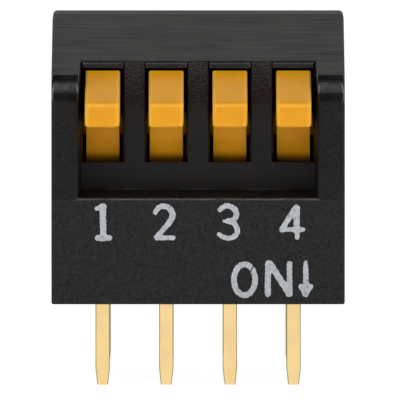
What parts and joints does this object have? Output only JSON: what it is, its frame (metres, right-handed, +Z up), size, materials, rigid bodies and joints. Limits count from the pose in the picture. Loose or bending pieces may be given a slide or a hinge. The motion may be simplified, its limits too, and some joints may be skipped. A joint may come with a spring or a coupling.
{
  "type": "dip switch",
  "caption": "Through-hole DIP switch with a sloped black case, a recessed bay of turning lever actuators and two rows of gold terminals.",
  "frame": {"origin": "centre of the terminal grid on the seating plane", "axes": "+Z up from the board, +X across the levers, -Y to the front where the levers stand out"},
  "size_m": [0.0116, 0.011, 0.0145],
  "materials": {
    "case_plastic": "fine moulded texture, satin",
    "base_plastic": "smooth moulded, satin",
    "lever_plastic": "smooth moulded, semi-gloss",
    "contact_gold": "gold plated",
    "terminal_gold": "gold plated"
  },
  "bodies": {
    "housing": {"case": "case_plastic", "base": "base_plastic", "terminal_front_1": "terminal_gold", "terminal_front_2": "terminal_gold", "terminal_front_3": "terminal_gold", "terminal_front_4": "terminal_gold", "terminal_rear_1": "terminal_gold", "terminal_rear_2": "terminal_gold", "terminal_rear_3": "terminal_gold", "terminal_rear_4": "terminal_gold"},
    "rocker_1": {"lever_1": "lever_plastic", "contact_1": "contact_gold"},
    "rocker_2": {"lever_2": "lever_plastic", "contact_2": "contact_gold"},
    "rocker_3": {"lever_3": "lever_plastic", "contact_3": "contact_gold"},
    "rocker_4": {"lever_4": "lever_plastic", "contact_4": "contact_gold"}
  },
  "joints": [
    {"name": "lever_1_turn", "type": "hinge", "parent": "housing", "child": "rocker_1", "pos_m": [-0.00381, 0, 0.0069], "axis": [1, 0, 0], "range_deg": [0, 24]},
    {"name": "lever_2_turn", "type": "hinge", "parent": "housing", "child": "rocker_2", "pos_m": [-0.00127, 0, 0.0069], "axis": [1, 0, 0], "range_deg": [0, 24]},
    {"name": "lever_3_turn", "type": "hinge", "parent": "housing", "child": "rocker_3", "pos_m": [0.00127, 0, 0.0069], "axis": [1, 0, 0], "range_deg": [0, 24]},
    {"name": "lever_4_turn", "type": "hinge", "parent": "housing", "child": "rocker_4", "pos_m": [0.00381, 0, 0.0069], "axis": [1, 0, 0], "range_deg": [0, 24]}
  ]
}
